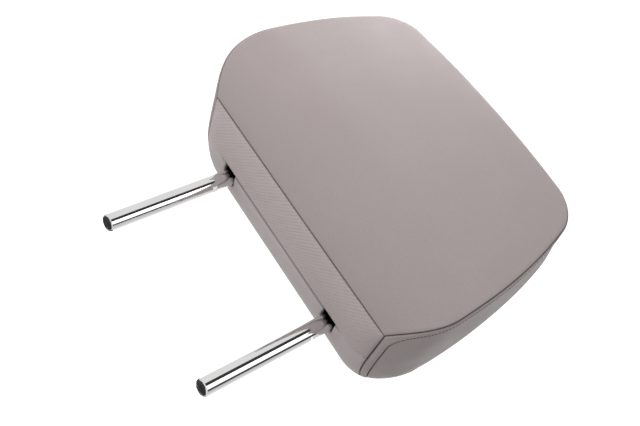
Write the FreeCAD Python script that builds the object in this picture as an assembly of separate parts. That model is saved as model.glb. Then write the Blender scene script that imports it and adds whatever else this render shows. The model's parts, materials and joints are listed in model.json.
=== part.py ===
"""Seat head restraint: a padded, trimmed pad that tilts on the cross bar of a bent-tube post frame.

Frame, in millimetres: +Z is up along the posts, -Y is the face that the head rests on, +X is to the right of
someone looking at that face. The origin is midway between the two posts, level with the pad's underside.
"""
import FreeCAD, Part
import math
import os

# ---------------------------------------------------------------- driving dimensions
# post frame
POST_D = 14.0               # outside diameter of the tube
POST_WALL = 2.5
POST_SPACING = 150.0        # between the two post axes
POST_EXPOSED = 110.0        # post length below the pad
POST_TIP_R = 4.0            # rounding of the closed post tips
POST_TIP_WALL = 3.0         # thickness of the closed end
POST_BEND_R = 26.0          # centreline radius of the bends
PIVOT_Z = 58.0              # height of the cross bar, which is the tilt axis
NOTCH_DROP = 17.0           # lock notch centre below the pad
NOTCH_HEIGHT = 4.0
NOTCH_DEPTH = 1.3

# tilt
TILT_MAX_DEG = 7.0          # forward tilt from rest
SLOT_CLEAR = 0.6            # clearance round a post where it passes through the pad
TILT_CLEAR = 0.4            # clearance left in front of a post at full tilt

# pad outline, seen from the front (half of it; the other half is its mirror image)
PAD_HALF_WIDTH = 141.5      # at the widest height
PAD_TOP_Z = 203.0           # top of the fullest section
PAD_FLOOR_Z = -1.0          # underside of the pad
LOWER_R = 48.0              # lower corner radius
BODY_CORNER_R = 38.5        # upper corner radius of the fullest section
BODY_CORNER_IN = 50.5       # its centre, in from the widest line
BODY_CORNER_DOWN = 48.0     # its centre, down from the top
FACE_CORNER_R = 31.0        # upper corner radius of the face outline
FACE_CORNER_IN = 52.0
FACE_CORNER_DOWN = 39.5
FACE_TOP_DROP = 10.5        # the face's top edge is this far below the fullest section's
SIDE_R = 420.0              # gentle outward bow of the two sides

# pad depth: the face edge and the rear, and distances from them
FACE_Y = -92.0
REAR_Y = 40.0
FULL_DEPTH = 42.0           # the section is fullest this far behind the face edge
TAPER_DEPTH = 38.0          # and starts to shrink this far before the rear
REAR_MID_DEPTH = 20.0       # halfway section, this far before the rear
REAR_MID_INSET = 5.0
REAR_INSET = 15.0
FACE_CROWN = 7.0            # how far the middle of the face stands in front of its side edges
FACE_ROLL_R = 60.0          # the lower face rolls back at this radius
FACE_ROLL_Z = 62.0          # the roll starts at this height
FACE_SEAM_DEPTH = 35.0      # the face's lower edge, where the front flap is sewn on
FLAP_TURN_DEPTH = 50.0      # the front flap has reached the flat underside here

# trim cover
COVER_T = 3.0               # leatherette or twill with its foam backing
HEM_GAP = 0.3               # between the two flaps
FLAP_SIDE_IN = 23.5         # the flaps end this far in from the widest line
REAR_SEAM_DEPTH = 13.0      # rear edge of the side band, before the rear

# plastic carrier
CORE_SIDE_FOAM = 35.5       # foam and cover beside the carrier
CORE_TOP_FOAM = 37.0        # and above it
CORE_BOTTOM_Z = 14.0
CORE_SPLIT_Y = -3.0
CORE_REAR_Y = 20.0
CORE_WALL = 2.5
CORE_CORNER_R = 12.0
CORE_SIDE_MARGIN = 5.0      # least plastic beside a slot guide
BOSS_R = 4.5
BOSS_INSET = 14.0           # outer bosses, in from the carrier's side and end
TOP_BOSS_DROP = 18.0
LOW_BOSS_RISE = 26.0        # outer lower bosses, above the cross bar
CORE_HEAD_RECESS = 6.0      # a carrier screw's head sits this deep behind the front wall

# pivot clamps on the cross bar
CLAMP_X = 22.0              # clamp centre from the middle of the bar
CLAMP_HALF_LENGTH = 10.0
CLAMP_LAND = 2.5            # plastic between a bush and a clamp screw
CLAMP_GAP = 1.0             # the cap stops this far short of the saddle
CAP_WALL = 6.5              # cap thickness in front of the bush
BUSH_WALL = 2.5
BUSH_RUNNING_CLEAR = 0.05
BUSH_SLIT = 2.0
SPRING_T = 1.0
SPRING_BOW = 1.5
SPRING_HALF_WIDTH = 6.0
RING_WIDTH = 4.0
RING_WALL = 3.0
RING_SIDE_GAP = 0.4

# screws
SCREW_R = 2.0
SCREW_HEAD_R = 3.8
SCREW_HEAD_H = 2.6
SCREW_HOLE_CLEAR = 0.25
SCREW_HEAD_CLEAR = 0.4      # between the clamp screws' heads and the carrier's front wall
SCREW_DRIVE_R = 1.4
SCREW_DRIVE_SLOT = 0.35     # half width of a drive slot
SCREW_DRIVE_DEPTH = 1.2
SCREW_HEAD_ROUND = 1.0
CORE_SCREW_REACH = 14.0     # how far a carrier screw runs into the rear boss

# slot guides and closure strips
GUIDE_WALL = 1.6
GUIDE_FIT = 0.1             # gap between a guide and the carrier's floor round it
GUIDE_FLANGE = 3.0
GUIDE_FLANGE_T = 3.5
FOAM_GAP = 0.3              # foam stops this far from the guides and the closure strips
CLIP_END_GAP = 4.5          # from a closure strip's end to a guide flange
CLIP_T = 1.2
CLIP_HEIGHT = 6.0
CLIP_REACH = 4.8
CLIP_PLAY = 0.4
CLIP_LIP = 1.8              # how far the front strip's hook turns down
CLIP_FOOT = 14.4            # width of the rear strip's sewn foot behind the hem

# ---------------------------------------------------------------- values worked out from them
POST_R = POST_D / 2
POST_X = POST_SPACING / 2
X_AXIS = FreeCAD.Vector(1, 0, 0)
Y_AXIS = FreeCAD.Vector(0, 1, 0)
Z_AXIS = FreeCAD.Vector(0, 0, 1)
BIG = 400.0                 # reach of a cutting tool past the object
TILT = math.radians(TILT_MAX_DEG)
SLOT_HALF = POST_R + SLOT_CLEAR
LOWER_CENTRE_X = PAD_HALF_WIDTH - LOWER_R
LOWER_CENTRE_Z = PAD_FLOOR_Z + LOWER_R
CROWN_R = PAD_HALF_WIDTH ** 2 / (2 * FACE_CROWN)
CROWN_Y = FACE_Y - FACE_CROWN
FACE_TOP_Z = PAD_TOP_Z - FACE_TOP_DROP
FACE_SEAM_Y = FACE_Y + FACE_SEAM_DEPTH
FLAP_TURN_Y = FACE_Y + FLAP_TURN_DEPTH
ROLL_Y = CROWN_Y + FACE_ROLL_R          # centre of the face's roll, and the angle at which its lower edge comes
ROLL_ANGLE = math.acos((ROLL_Y - FACE_SEAM_Y) / FACE_ROLL_R)
FACE_SEAM_Z = FACE_ROLL_Z - FACE_ROLL_R * math.sin(ROLL_ANGLE)
REAR_SEAM_Y = REAR_Y - REAR_SEAM_DEPTH
FLAP_HALF_WIDTH = PAD_HALF_WIDTH - FLAP_SIDE_IN


def slot_front(z):
    """How far in front of the post axis a slot reaches at height z, so that the post is clear at full tilt."""
    return (PIVOT_Z - z) * math.tan(TILT) + POST_R / math.cos(TILT) + TILT_CLEAR


HEM_Y = -slot_front(PAD_FLOOR_Z)    # straight edge where the two flaps meet

# ---------------------------------------------------------------- small helpers
def box(x0, x1, y0, y1, z0, z1):
    return Part.makeBox(x1 - x0, y1 - y0, z1 - z0, FreeCAD.Vector(x0, y0, z0))


def cylinder(radius, start, direction, length):
    return Part.makeCylinder(radius, length, FreeCAD.Vector(*start), direction)


def ring(outer_r, inner_r, start, direction, length):
    return cylinder(outer_r, start, direction, length).cut(cylinder(inner_r, start, direction, length))


def fuse(shapes):
    """One clean solid from touching shapes."""
    result = shapes[0].multiFuse(shapes[1:]) if len(shapes) > 1 else shapes[0]
    return result.removeSplitter()


def only_solid(shape):
    """The shape's largest solid, so that a boolean leaves no crumbs."""
    return max(shape.Solids, key=lambda s: s.Volume)


def prism_x(points, x0, x1):
    """A straight prism along X on a polygon given as (y, z) points."""
    corners = [FreeCAD.Vector(x0, y, z) for y, z in points]
    face = Part.Face(Part.makePolygon(corners + corners[:1]))
    return face.extrude(FreeCAD.Vector(x1 - x0, 0, 0))


def slot_prism(x, y_front, y_rear, half_width, z0, z1):
    """An upright slot round a post: straight sides, a square front end and a round rear end."""
    body = box(x - half_width, x + half_width, y_front, y_rear - half_width, z0, z1)
    end = cylinder(half_width, (x, y_rear - half_width, z0), Z_AXIS, z1 - z0)
    return body.fuse(end).removeSplitter()


# ---------------------------------------------------------------- the pad's outer form
def on_circle(centre, radius, angle):
    return centre[0] + radius * math.cos(angle), centre[1] + radius * math.sin(angle)


def arc(centre, radius, a0, a1, y, mirror):
    """An arc edge in the plane y, from angle a0 to a1, or its mirror image run backwards."""
    angles = [a0, (a0 + a1) / 2, a1]
    if mirror:
        angles.reverse()
    side = -1 if mirror else 1
    points = [on_circle(centre, radius, a) for a in angles]
    return Part.Arc(*[FreeCAD.Vector(side * x, y, z) for x, z in points]).toShape()


def outline(corner_x, corner_z, corner_r, top_z, y, inset):
    """The pad's section at depth y, made of tangent arcs over a straight underside, and moved inwards by inset."""
    lower = (LOWER_CENTRE_X, LOWER_CENTRE_Z)
    upper = (corner_x, corner_z)
    drop = corner_z - top_z
    top_r = (corner_r ** 2 - corner_x ** 2 - drop ** 2) / (2 * (drop + corner_r))
    top = (0.0, top_z - top_r)
    # the side arc touches both corner arcs from outside
    gap = math.dist(lower, upper)
    along = ((SIDE_R - LOWER_R) ** 2 - (SIDE_R - corner_r) ** 2 + gap ** 2) / (2 * gap)
    across = math.sqrt((SIDE_R - LOWER_R) ** 2 - along ** 2)
    ux = (upper[0] - lower[0]) / gap
    uz = (upper[1] - lower[1]) / gap
    side = (lower[0] + ux * along - uz * across, lower[1] + uz * along + ux * across)
    a_low = math.atan2(lower[1] - side[1], lower[0] - side[0])
    a_high = math.atan2(upper[1] - side[1], upper[0] - side[0])
    a_top = math.atan2(upper[1] - top[1], upper[0] - top[0])
    spans = [
        (lower, LOWER_R - inset, -math.pi / 2, a_low),
        (side, SIDE_R - inset, a_low, a_high),
        (upper, corner_r - inset, a_high, a_top),
    ]
    floor_z = PAD_FLOOR_Z + inset
    start = FreeCAD.Vector(-LOWER_CENTRE_X, y, floor_z)
    edges = [Part.LineSegment(start, FreeCAD.Vector(LOWER_CENTRE_X, y, floor_z)).toShape()]
    edges += [arc(*span, y, mirror=False) for span in spans]
    edges.append(arc(top, top_r - inset, a_top, math.pi - a_top, y, mirror=False))
    edges += [arc(*span, y, mirror=True) for span in reversed(spans)]
    return Part.Wire(edges)


def face_side_tool(inset):
    """Everything behind the face: a crowned front that rolls back below, with all other sides left open."""
    reach = FACE_ROLL_R - inset
    angles = (0.0, ROLL_ANGLE / 2, ROLL_ANGLE)
    points = [(ROLL_Y - reach * math.cos(a), FACE_ROLL_Z - reach * math.sin(a)) for a in angles]
    roll = Part.Arc(*[FreeCAD.Vector(-BIG, y, z) for y, z in points]).toShape()
    tail = [(points[2][0], -BIG), (BIG, -BIG), (BIG, BIG), (points[0][0], BIG), points[0]]
    rest = Part.makePolygon([FreeCAD.Vector(-BIG, y, z) for y, z in [points[2]] + tail]).Edges
    slab = Part.Face(Part.Wire([roll] + rest)).extrude(FreeCAD.Vector(2 * BIG, 0, 0))
    crown = cylinder(CROWN_R - inset, (0, CROWN_Y + CROWN_R, -BIG), Z_AXIS, 2 * BIG)
    return slab.common(crown)


def flap_side_tool(inset):
    """Everything above the front flap's slope, which climbs from the underside to the face's lower edge."""
    slope = math.atan2(FACE_SEAM_Z - PAD_FLOOR_Z, FLAP_TURN_Y - FACE_SEAM_Y)
    lift = inset / math.cos(slope)
    ends = (-BIG / 2, BIG)
    low = [(y, PAD_FLOOR_Z + (FLAP_TURN_Y - y) * math.tan(slope) + lift) for y in ends]
    return prism_x(low + [(y, BIG) for y in reversed(ends)], -BIG, BIG)


def pad_form(inset):
    """The whole pad as one solid, moved inwards by inset on every side."""
    face = (PAD_HALF_WIDTH - FACE_CORNER_IN, FACE_TOP_Z - FACE_CORNER_DOWN, FACE_CORNER_R, FACE_TOP_Z)
    body = (PAD_HALF_WIDTH - BODY_CORNER_IN, PAD_TOP_Z - BODY_CORNER_DOWN, BODY_CORNER_R, PAD_TOP_Z)
    sections = [
        outline(*face, CROWN_Y - 1, inset),
        outline(*face, FACE_Y, inset),
        outline(*body, FACE_Y + FULL_DEPTH, inset),
        outline(*body, REAR_Y - TAPER_DEPTH, inset),
        outline(*body, REAR_Y - REAR_MID_DEPTH, REAR_MID_INSET + inset),
        outline(*body, REAR_Y - inset, REAR_INSET + inset),
    ]
    loft = Part.makeLoft(sections, True, True)
    return only_solid(loft.common(face_side_tool(inset)).common(flap_side_tool(inset)))


# ---------------------------------------------------------------- post frame
def tube_core(radius, tip_z):
    """The bent tube's centreline swept with one radius: two posts, two bends and the cross bar."""
    bend_z = PIVOT_Z - POST_BEND_R
    bar_x = POST_X - POST_BEND_R
    parts = [cylinder(radius, (-bar_x, 0, PIVOT_Z), X_AXIS, 2 * bar_x)]
    for side in (-1, 1):
        parts.append(cylinder(radius, (side * POST_X, 0, tip_z), Z_AXIS, bend_z - tip_z))
        disc = Part.Face(Part.Wire(Part.makeCircle(radius, FreeCAD.Vector(side * POST_X, 0, bend_z), Z_AXIS)))
        centre = FreeCAD.Vector(side * bar_x, 0, bend_z)
        parts.append(disc.revolve(centre, FreeCAD.Vector(0, -side, 0), 90))
    return fuse(parts)


def make_post_frame():
    frame = tube_core(POST_R, -POST_EXPOSED)
    tips = [e for e in frame.Edges if e.BoundBox.ZMax < -POST_EXPOSED + 0.1]
    frame = frame.makeFillet(POST_TIP_R, tips)
    frame = frame.cut(tube_core(POST_R - POST_WALL, -POST_EXPOSED + POST_TIP_WALL))
    for side in (-1, 1):
        flat_x = side * POST_X + POST_R - NOTCH_DEPTH
        low = -NOTCH_DROP - NOTCH_HEIGHT / 2
        frame = frame.cut(box(flat_x, flat_x + POST_R, -POST_R, POST_R, low, low + NOTCH_HEIGHT))
    return only_solid(frame)


def make_locating_ring(side):
    inner_x = CLAMP_X + CLAMP_HALF_LENGTH + RING_SIDE_GAP
    start = inner_x if side > 0 else -inner_x - RING_WIDTH
    return ring(POST_R + RING_WALL, POST_R, (start, 0, PIVOT_Z), X_AXIS, RING_WIDTH)


# ---------------------------------------------------------------- pivot clamps
BUSH_INNER_R = POST_R + BUSH_RUNNING_CLEAR
BUSH_OUTER_R = BUSH_INNER_R + BUSH_WALL
CLAMP_SCREW_Z = BUSH_OUTER_R + SCREW_R + CLAMP_LAND     # screw distance above and below the bar
CLAMP_HALF_HEIGHT = CLAMP_SCREW_Z + SCREW_HEAD_R
CAP_REAR_Y = -CLAMP_GAP
CAP_FRONT_Y = -BUSH_OUTER_R - CAP_WALL


def clamp_span(side):
    return side * CLAMP_X - CLAMP_HALF_LENGTH, side * CLAMP_X + CLAMP_HALF_LENGTH


def clamp_screw_points():
    return [(side * CLAMP_X, PIVOT_Z + dz) for side in (-1, 1) for dz in (-CLAMP_SCREW_Z, CLAMP_SCREW_Z)]


def make_bush(side):
    x0, x1 = clamp_span(side)
    sleeve = ring(BUSH_OUTER_R, BUSH_INNER_R, (x0, 0, PIVOT_Z), X_AXIS, x1 - x0)
    slit = box(x0, x1, -BUSH_SLIT / 2, BUSH_SLIT / 2, PIVOT_Z, PIVOT_Z + 2 * BUSH_OUTER_R)
    return only_solid(sleeve.cut(slit))


def make_clamp_cap(side):
    x0, x1 = clamp_span(side)
    cap = box(x0, x1, CAP_FRONT_Y, CAP_REAR_Y, PIVOT_Z - CLAMP_HALF_HEIGHT, PIVOT_Z + CLAMP_HALF_HEIGHT)
    cap = cap.cut(cylinder(BUSH_OUTER_R, (x0, 0, PIVOT_Z), X_AXIS, x1 - x0))
    for dz in (-CLAMP_SCREW_Z, CLAMP_SCREW_Z):
        start = (side * CLAMP_X, CAP_FRONT_Y, PIVOT_Z + dz)
        cap = cap.cut(cylinder(SCREW_R + SCREW_HOLE_CLEAR, start, Y_AXIS, CAP_REAR_Y - CAP_FRONT_Y))
    edges = [e for e in cap.Edges if e.BoundBox.YMax < CAP_FRONT_Y + 0.1 and len(e.Vertexes) == 2]
    return only_solid(cap.makeChamfer(1.0, edges))


def make_friction_spring(side):
    """A bowed strip: its middle presses on the cap and the screw heads press on its ends."""
    half = CLAMP_SCREW_Z + SCREW_HEAD_R
    x0 = side * CLAMP_X - SPRING_HALF_WIDTH
    middle_y = CAP_FRONT_Y
    end_y = CAP_FRONT_Y - SPRING_BOW
    rear = Part.Arc(
        FreeCAD.Vector(x0, end_y, PIVOT_Z - half),
        FreeCAD.Vector(x0, middle_y, PIVOT_Z),
        FreeCAD.Vector(x0, end_y, PIVOT_Z + half),
    ).toShape()
    front = Part.Arc(
        FreeCAD.Vector(x0, end_y - SPRING_T, PIVOT_Z + half),
        FreeCAD.Vector(x0, middle_y - SPRING_T, PIVOT_Z),
        FreeCAD.Vector(x0, end_y - SPRING_T, PIVOT_Z - half),
    ).toShape()
    top = Part.makeLine(rear.Vertexes[1].Point, front.Vertexes[0].Point)
    bottom = Part.makeLine(front.Vertexes[1].Point, rear.Vertexes[0].Point)
    strip = Part.Face(Part.Wire([rear, top, front, bottom])).extrude(FreeCAD.Vector(2 * SPRING_HALF_WIDTH, 0, 0))
    for dz in (-CLAMP_SCREW_Z, CLAMP_SCREW_Z):
        start = (side * CLAMP_X, CAP_FRONT_Y - 2 * SPRING_BOW - SPRING_T, PIVOT_Z + dz)
        strip = strip.cut(cylinder(SCREW_R + SCREW_HOLE_CLEAR, start, Y_AXIS, 4 * SPRING_BOW))
    return only_solid(strip)


def make_screw(x, z, head_y, tip_y):
    """A pan-head screw along +Y with a cross-drive recess; head_y is the underside of its head."""
    shank = cylinder(SCREW_R, (x, head_y, z), Y_AXIS, tip_y - head_y)
    head = cylinder(SCREW_HEAD_R, (x, head_y - SCREW_HEAD_H, z), Y_AXIS, SCREW_HEAD_H)
    rim = [e for e in head.Edges if abs(e.BoundBox.YMax - (head_y - SCREW_HEAD_H)) < 0.01]
    screw = head.makeFillet(SCREW_HEAD_ROUND, rim).fuse(shank).removeSplitter()
    y0 = head_y - SCREW_HEAD_H
    y1 = y0 + SCREW_DRIVE_DEPTH
    for wide, tall in ((SCREW_DRIVE_R, SCREW_DRIVE_SLOT), (SCREW_DRIVE_SLOT, SCREW_DRIVE_R)):
        screw = screw.cut(box(x - wide, x + wide, y0, y1, z - tall, z + tall))
    return only_solid(screw)


CLAMP_HEAD_Y = CAP_FRONT_Y - SPRING_BOW - SPRING_T
CLAMP_TIP_Y = CORE_REAR_Y - CORE_WALL
CORE_FRONT_Y = CLAMP_HEAD_Y - SCREW_HEAD_H - SCREW_HEAD_CLEAR - CORE_WALL


def make_clamp_screws():
    return [make_screw(x, z, CLAMP_HEAD_Y, CLAMP_TIP_Y) for x, z in clamp_screw_points()]


# ---------------------------------------------------------------- plastic carrier
CORE_HALF_WIDTH = max(PAD_HALF_WIDTH - CORE_SIDE_FOAM, POST_X + SLOT_HALF + GUIDE_WALL + CORE_SIDE_MARGIN)
CORE_TOP_Z = PAD_TOP_Z - CORE_TOP_FOAM
BOSS_SIDE_X = CORE_HALF_WIDTH - BOSS_INSET
BOSS_TOP_Z = CORE_TOP_Z - TOP_BOSS_DROP
CORE_BOSSES = [(0.0, CORE_BOTTOM_Z + BOSS_INSET), (0.0, BOSS_TOP_Z)]
CORE_BOSSES += [(side * BOSS_SIDE_X, z) for side in (-1, 1) for z in (PIVOT_Z + LOW_BOSS_RISE, BOSS_TOP_Z)]


def core_block(inset):
    """The carrier's outer block with its long corners rounded, moved inwards by inset."""
    block = box(
        -CORE_HALF_WIDTH + inset, CORE_HALF_WIDTH - inset,
        CORE_FRONT_Y + inset, CORE_REAR_Y - inset,
        CORE_BOTTOM_Z + inset, CORE_TOP_Z - inset,
    )
    deep = [e for e in block.Edges if e.BoundBox.YLength > 1]
    return block.makeFillet(CORE_CORNER_R - inset, deep)


GUIDE_LOW_Z = PAD_FLOOR_Z + COVER_T
GUIDE_HIGH_Z = CORE_BOTTOM_Z + CORE_WALL


def guide_slot(z0, z1, extra, side):
    """The upright slot that a post needs over its whole tilt, grown by extra on every side."""
    front = -slot_front(GUIDE_LOW_Z) - extra
    return slot_prism(side * POST_X, front, SLOT_HALF + extra, SLOT_HALF + extra, z0, z1)


def core_hollow():
    shell = core_block(0.0).cut(core_block(CORE_WALL))
    for side in (-1, 1):
        shell = shell.cut(guide_slot(CORE_BOTTOM_Z - 1, GUIDE_HIGH_Z + 1, GUIDE_WALL + GUIDE_FIT, side))
    return shell


def make_core_rear():
    half = box(-BIG, BIG, CORE_SPLIT_Y, BIG, -BIG, BIG)
    pieces = [core_hollow().common(half)]
    inner_y = CORE_REAR_Y - CORE_WALL
    for x, z in CORE_BOSSES:
        pieces.append(cylinder(BOSS_R, (x, CORE_SPLIT_Y, z), Y_AXIS, inner_y - CORE_SPLIT_Y))
    for side in (-1, 1):
        x0, x1 = clamp_span(side)
        z0, z1 = PIVOT_Z - CLAMP_HALF_HEIGHT, PIVOT_Z + CLAMP_HALF_HEIGHT
        pieces.append(box(x0, x1, 0.0, inner_y, z0, z1))
    shell = fuse(pieces)
    for side in (-1, 1):
        x0, x1 = clamp_span(side)
        shell = shell.cut(cylinder(BUSH_OUTER_R, (x0, 0, PIVOT_Z), X_AXIS, x1 - x0))
    for x, z in clamp_screw_points():
        shell = shell.cut(cylinder(SCREW_R, (x, 0.0, z), Y_AXIS, CLAMP_TIP_Y))
    for x, z in CORE_BOSSES:
        shell = shell.cut(cylinder(SCREW_R, (x, CORE_SPLIT_Y, z), Y_AXIS, CORE_SCREW_REACH))
    return only_solid(shell)


def make_core_front():
    half = box(-BIG, BIG, -BIG, CORE_SPLIT_Y, -BIG, BIG)
    pieces = [core_hollow().common(half)]
    inner_y = CORE_FRONT_Y + CORE_WALL
    for x, z in CORE_BOSSES:
        pieces.append(cylinder(SCREW_HEAD_R + CORE_WALL, (x, inner_y, z), Y_AXIS, CORE_SPLIT_Y - inner_y))
    shell = fuse(pieces)
    for x, z in CORE_BOSSES:
        recess = cylinder(SCREW_HEAD_R + SCREW_HOLE_CLEAR, (x, CORE_FRONT_Y, z), Y_AXIS, CORE_HEAD_RECESS)
        hole = cylinder(SCREW_R + SCREW_HOLE_CLEAR, (x, CORE_FRONT_Y, z), Y_AXIS, -CORE_FRONT_Y)
        shell = shell.cut(recess).cut(hole)
    return only_solid(shell)


def make_core_screws():
    head_y = CORE_FRONT_Y + CORE_HEAD_RECESS
    return [make_screw(x, z, head_y, CORE_SPLIT_Y + CORE_SCREW_REACH) for x, z in CORE_BOSSES]


# ---------------------------------------------------------------- slot guides
def make_slot_guide(side):
    """An oblong sleeve from the carrier down to the flaps, flanged at its foot, which follows the flap."""
    sleeve = guide_slot(GUIDE_LOW_Z, GUIDE_HIGH_Z, GUIDE_WALL, side)
    flange = guide_slot(GUIDE_LOW_Z, GUIDE_LOW_Z + GUIDE_FLANGE_T, GUIDE_WALL + GUIDE_FLANGE, side)
    guide = sleeve.fuse(flange).cut(guide_slot(GUIDE_LOW_Z, GUIDE_HIGH_Z, 0.0, side))
    return only_solid(guide.removeSplitter().common(pad_form(COVER_T)))


# ---------------------------------------------------------------- closure strips
CLIP_LOW_Z = PAD_FLOOR_Z + COVER_T
CLIP_TOP_Z = CLIP_LOW_Z + CLIP_HEIGHT
CLIP_FRONT_Y = HEM_Y - CLIP_REACH
CLIP_REAR_Y = HEM_Y + CLIP_FOOT
CLIP_HALF_LENGTH = POST_X - SLOT_HALF - GUIDE_WALL - GUIDE_FLANGE - CLIP_END_GAP


def make_closure_front():
    """A hook strip on the front flap's hem, opening downwards behind its web."""
    web_rear = CLIP_FRONT_Y + CLIP_T
    hook_rear = HEM_Y + CLIP_T
    hook_low = CLIP_TOP_Z - CLIP_T
    points = [
        (CLIP_FRONT_Y, CLIP_LOW_Z), (web_rear, CLIP_LOW_Z), (web_rear, hook_low), (HEM_Y, hook_low),
        (HEM_Y, hook_low - CLIP_LIP), (hook_rear, hook_low - CLIP_LIP), (hook_rear, CLIP_TOP_Z),
        (CLIP_FRONT_Y, CLIP_TOP_Z),
    ]
    return prism_x(points, -CLIP_HALF_LENGTH, CLIP_HALF_LENGTH)


def make_closure_rear():
    """The mating strip on the rear flap's hem: a foot, and a web that turns up inside the front hook."""
    web_front = CLIP_FRONT_Y + CLIP_T + CLIP_PLAY
    web_top = CLIP_TOP_Z - CLIP_T - CLIP_PLAY
    foot_top = CLIP_LOW_Z + CLIP_T
    points = [
        (web_front, CLIP_LOW_Z), (CLIP_REAR_Y, CLIP_LOW_Z), (CLIP_REAR_Y, foot_top),
        (web_front + CLIP_T, foot_top), (web_front + CLIP_T, web_top), (web_front, web_top),
    ]
    return prism_x(points, -CLIP_HALF_LENGTH, CLIP_HALF_LENGTH)


def closure_pocket():
    """The groove in the foam that both strips lie in."""
    half = CLIP_HALF_LENGTH + FOAM_GAP
    y0, y1 = CLIP_FRONT_Y - FOAM_GAP, CLIP_REAR_Y + FOAM_GAP
    return box(-half, half, y0, y1, PAD_FLOOR_Z, CLIP_TOP_Z + FOAM_GAP)


# ---------------------------------------------------------------- foam
def make_foam():
    """The front and rear foam halves, hollowed for the carrier, the slot guides and the closure strips."""
    foam = pad_form(COVER_T).cut(core_block(0.0)).cut(closure_pocket())
    for side in (-1, 1):
        z1 = CORE_BOTTOM_Z + 1
        foam = foam.cut(guide_slot(PAD_FLOOR_Z, z1, GUIDE_WALL + FOAM_GAP, side))
        flange_top = GUIDE_LOW_Z + GUIDE_FLANGE_T + FOAM_GAP
        foam = foam.cut(guide_slot(PAD_FLOOR_Z, flange_top, GUIDE_WALL + GUIDE_FLANGE + FOAM_GAP, side))
    front = only_solid(foam.common(box(-BIG, BIG, -BIG, CORE_SPLIT_Y, -BIG, BIG)))
    rear = only_solid(foam.common(box(-BIG, BIG, CORE_SPLIT_Y, BIG, -BIG, BIG)))
    return front, rear


# ---------------------------------------------------------------- trim cover
def make_cover():
    """The five sewn panels: together they are the pad's outer layer, and they meet at the seams."""
    outer = pad_form(0.0)
    behind_face = face_side_tool(COVER_T)
    skin = outer.common(behind_face).cut(pad_form(COVER_T))
    panels = {"cover_front_panel": outer.cut(behind_face)}
    rear_half = box(-BIG, BIG, REAR_SEAM_Y, BIG, -BIG, BIG)
    panels["cover_rear_panel"] = skin.common(rear_half)
    skin = skin.cut(rear_half)
    below = box(-FLAP_HALF_WIDTH, FLAP_HALF_WIDTH, -BIG, BIG, -BIG, LOWER_R / 2)
    panels["cover_side_band"] = skin.cut(below)
    under = skin.common(below)
    panels["cover_front_flap"] = under.common(box(-BIG, BIG, -BIG, HEM_Y, -BIG, BIG))
    rear_flap = under.common(box(-BIG, BIG, HEM_Y + HEM_GAP, BIG, -BIG, BIG))
    cut_half = SLOT_HALF + FOAM_GAP
    for side in (-1, 1):
        post_cut = slot_prism(side * POST_X, HEM_Y - 1, cut_half, cut_half, -BIG, LOWER_R)
        rear_flap = rear_flap.cut(post_cut)
    panels["cover_rear_flap"] = rear_flap
    return {name: only_solid(shape) for name, shape in panels.items()}


# ---------------------------------------------------------------- write every node
def write(name, shape):
    solids = shape if isinstance(shape, list) else [shape]
    for solid in solids:
        assert solid.isValid() and solid.Volume > 0, name
    out = Part.makeCompound(solids) if len(solids) > 1 else solids[0]
    out.exportStep(f"parts/{name}.step")
    print(f"{name}: {len(solids)} solid(s), {sum(s.Volume for s in solids) / 1000:.2f} cm3")


def main():
    os.makedirs("parts", exist_ok=True)
    write("post_frame", make_post_frame())
    for name, side in (("left", -1), ("right", 1)):
        write(f"locating_ring_{name}", make_locating_ring(side))
        write(f"pivot_bush_{name}", make_bush(side))
        write(f"clamp_cap_{name}", make_clamp_cap(side))
        write(f"friction_spring_{name}", make_friction_spring(side))
        write(f"slot_guide_{name}", make_slot_guide(side))
    write("clamp_screws", make_clamp_screws())
    write("core_front_shell", make_core_front())
    write("core_rear_shell", make_core_rear())
    write("core_screws", make_core_screws())
    write("closure_clip_front", make_closure_front())
    write("closure_clip_rear", make_closure_rear())
    front_foam, rear_foam = make_foam()
    write("front_foam", front_foam)
    write("rear_foam", rear_foam)
    for name, panel in make_cover().items():
        write(name, panel)


main()
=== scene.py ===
"""Looks of the seat head restraint: a trimmed, padded head restraint on two bright-plated posts.

Everything is in metres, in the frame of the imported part: +Z up along the posts, -Y the face the head
rests on. The trim is five sewn panels. Their shared form is worked out here from the part's own boxes,
puffed by a short cloth simulation between the seams, then cut into panels. Each panel is a closed shell
whose edges roll into the seams.
"""

import json
import math

import bmesh
import bpy
import numpy as np
from mathutils import Matrix, Vector
from mathutils.bvhtree import BVHTree
from mathutils.kdtree import KDTree


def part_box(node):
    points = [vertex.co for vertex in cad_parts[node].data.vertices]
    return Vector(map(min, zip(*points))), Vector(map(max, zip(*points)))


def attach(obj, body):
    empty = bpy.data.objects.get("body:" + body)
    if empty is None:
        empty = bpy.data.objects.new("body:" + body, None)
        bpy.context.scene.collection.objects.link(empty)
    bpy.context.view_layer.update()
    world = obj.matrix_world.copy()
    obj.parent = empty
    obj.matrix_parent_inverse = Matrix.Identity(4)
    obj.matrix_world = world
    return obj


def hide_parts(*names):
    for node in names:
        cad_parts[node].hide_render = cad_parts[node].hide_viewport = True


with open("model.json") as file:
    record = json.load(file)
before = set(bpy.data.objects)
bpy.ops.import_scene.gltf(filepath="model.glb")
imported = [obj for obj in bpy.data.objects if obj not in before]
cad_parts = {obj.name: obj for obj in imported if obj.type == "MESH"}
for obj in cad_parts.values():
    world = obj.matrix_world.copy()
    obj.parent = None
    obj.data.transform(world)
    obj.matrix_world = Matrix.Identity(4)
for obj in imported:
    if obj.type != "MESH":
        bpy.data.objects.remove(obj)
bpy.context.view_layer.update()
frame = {"nodes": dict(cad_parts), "record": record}

# ---------------------------------------------------------------- sizes read from the part
MM = 0.001
_, band_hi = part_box("cover_side_band")
face_lo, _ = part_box("cover_front_panel")
flap_lo, flap_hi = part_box("cover_front_flap")
rear_lo, rear_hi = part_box("cover_rear_panel")
post_lo, post_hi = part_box("post_frame")
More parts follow.
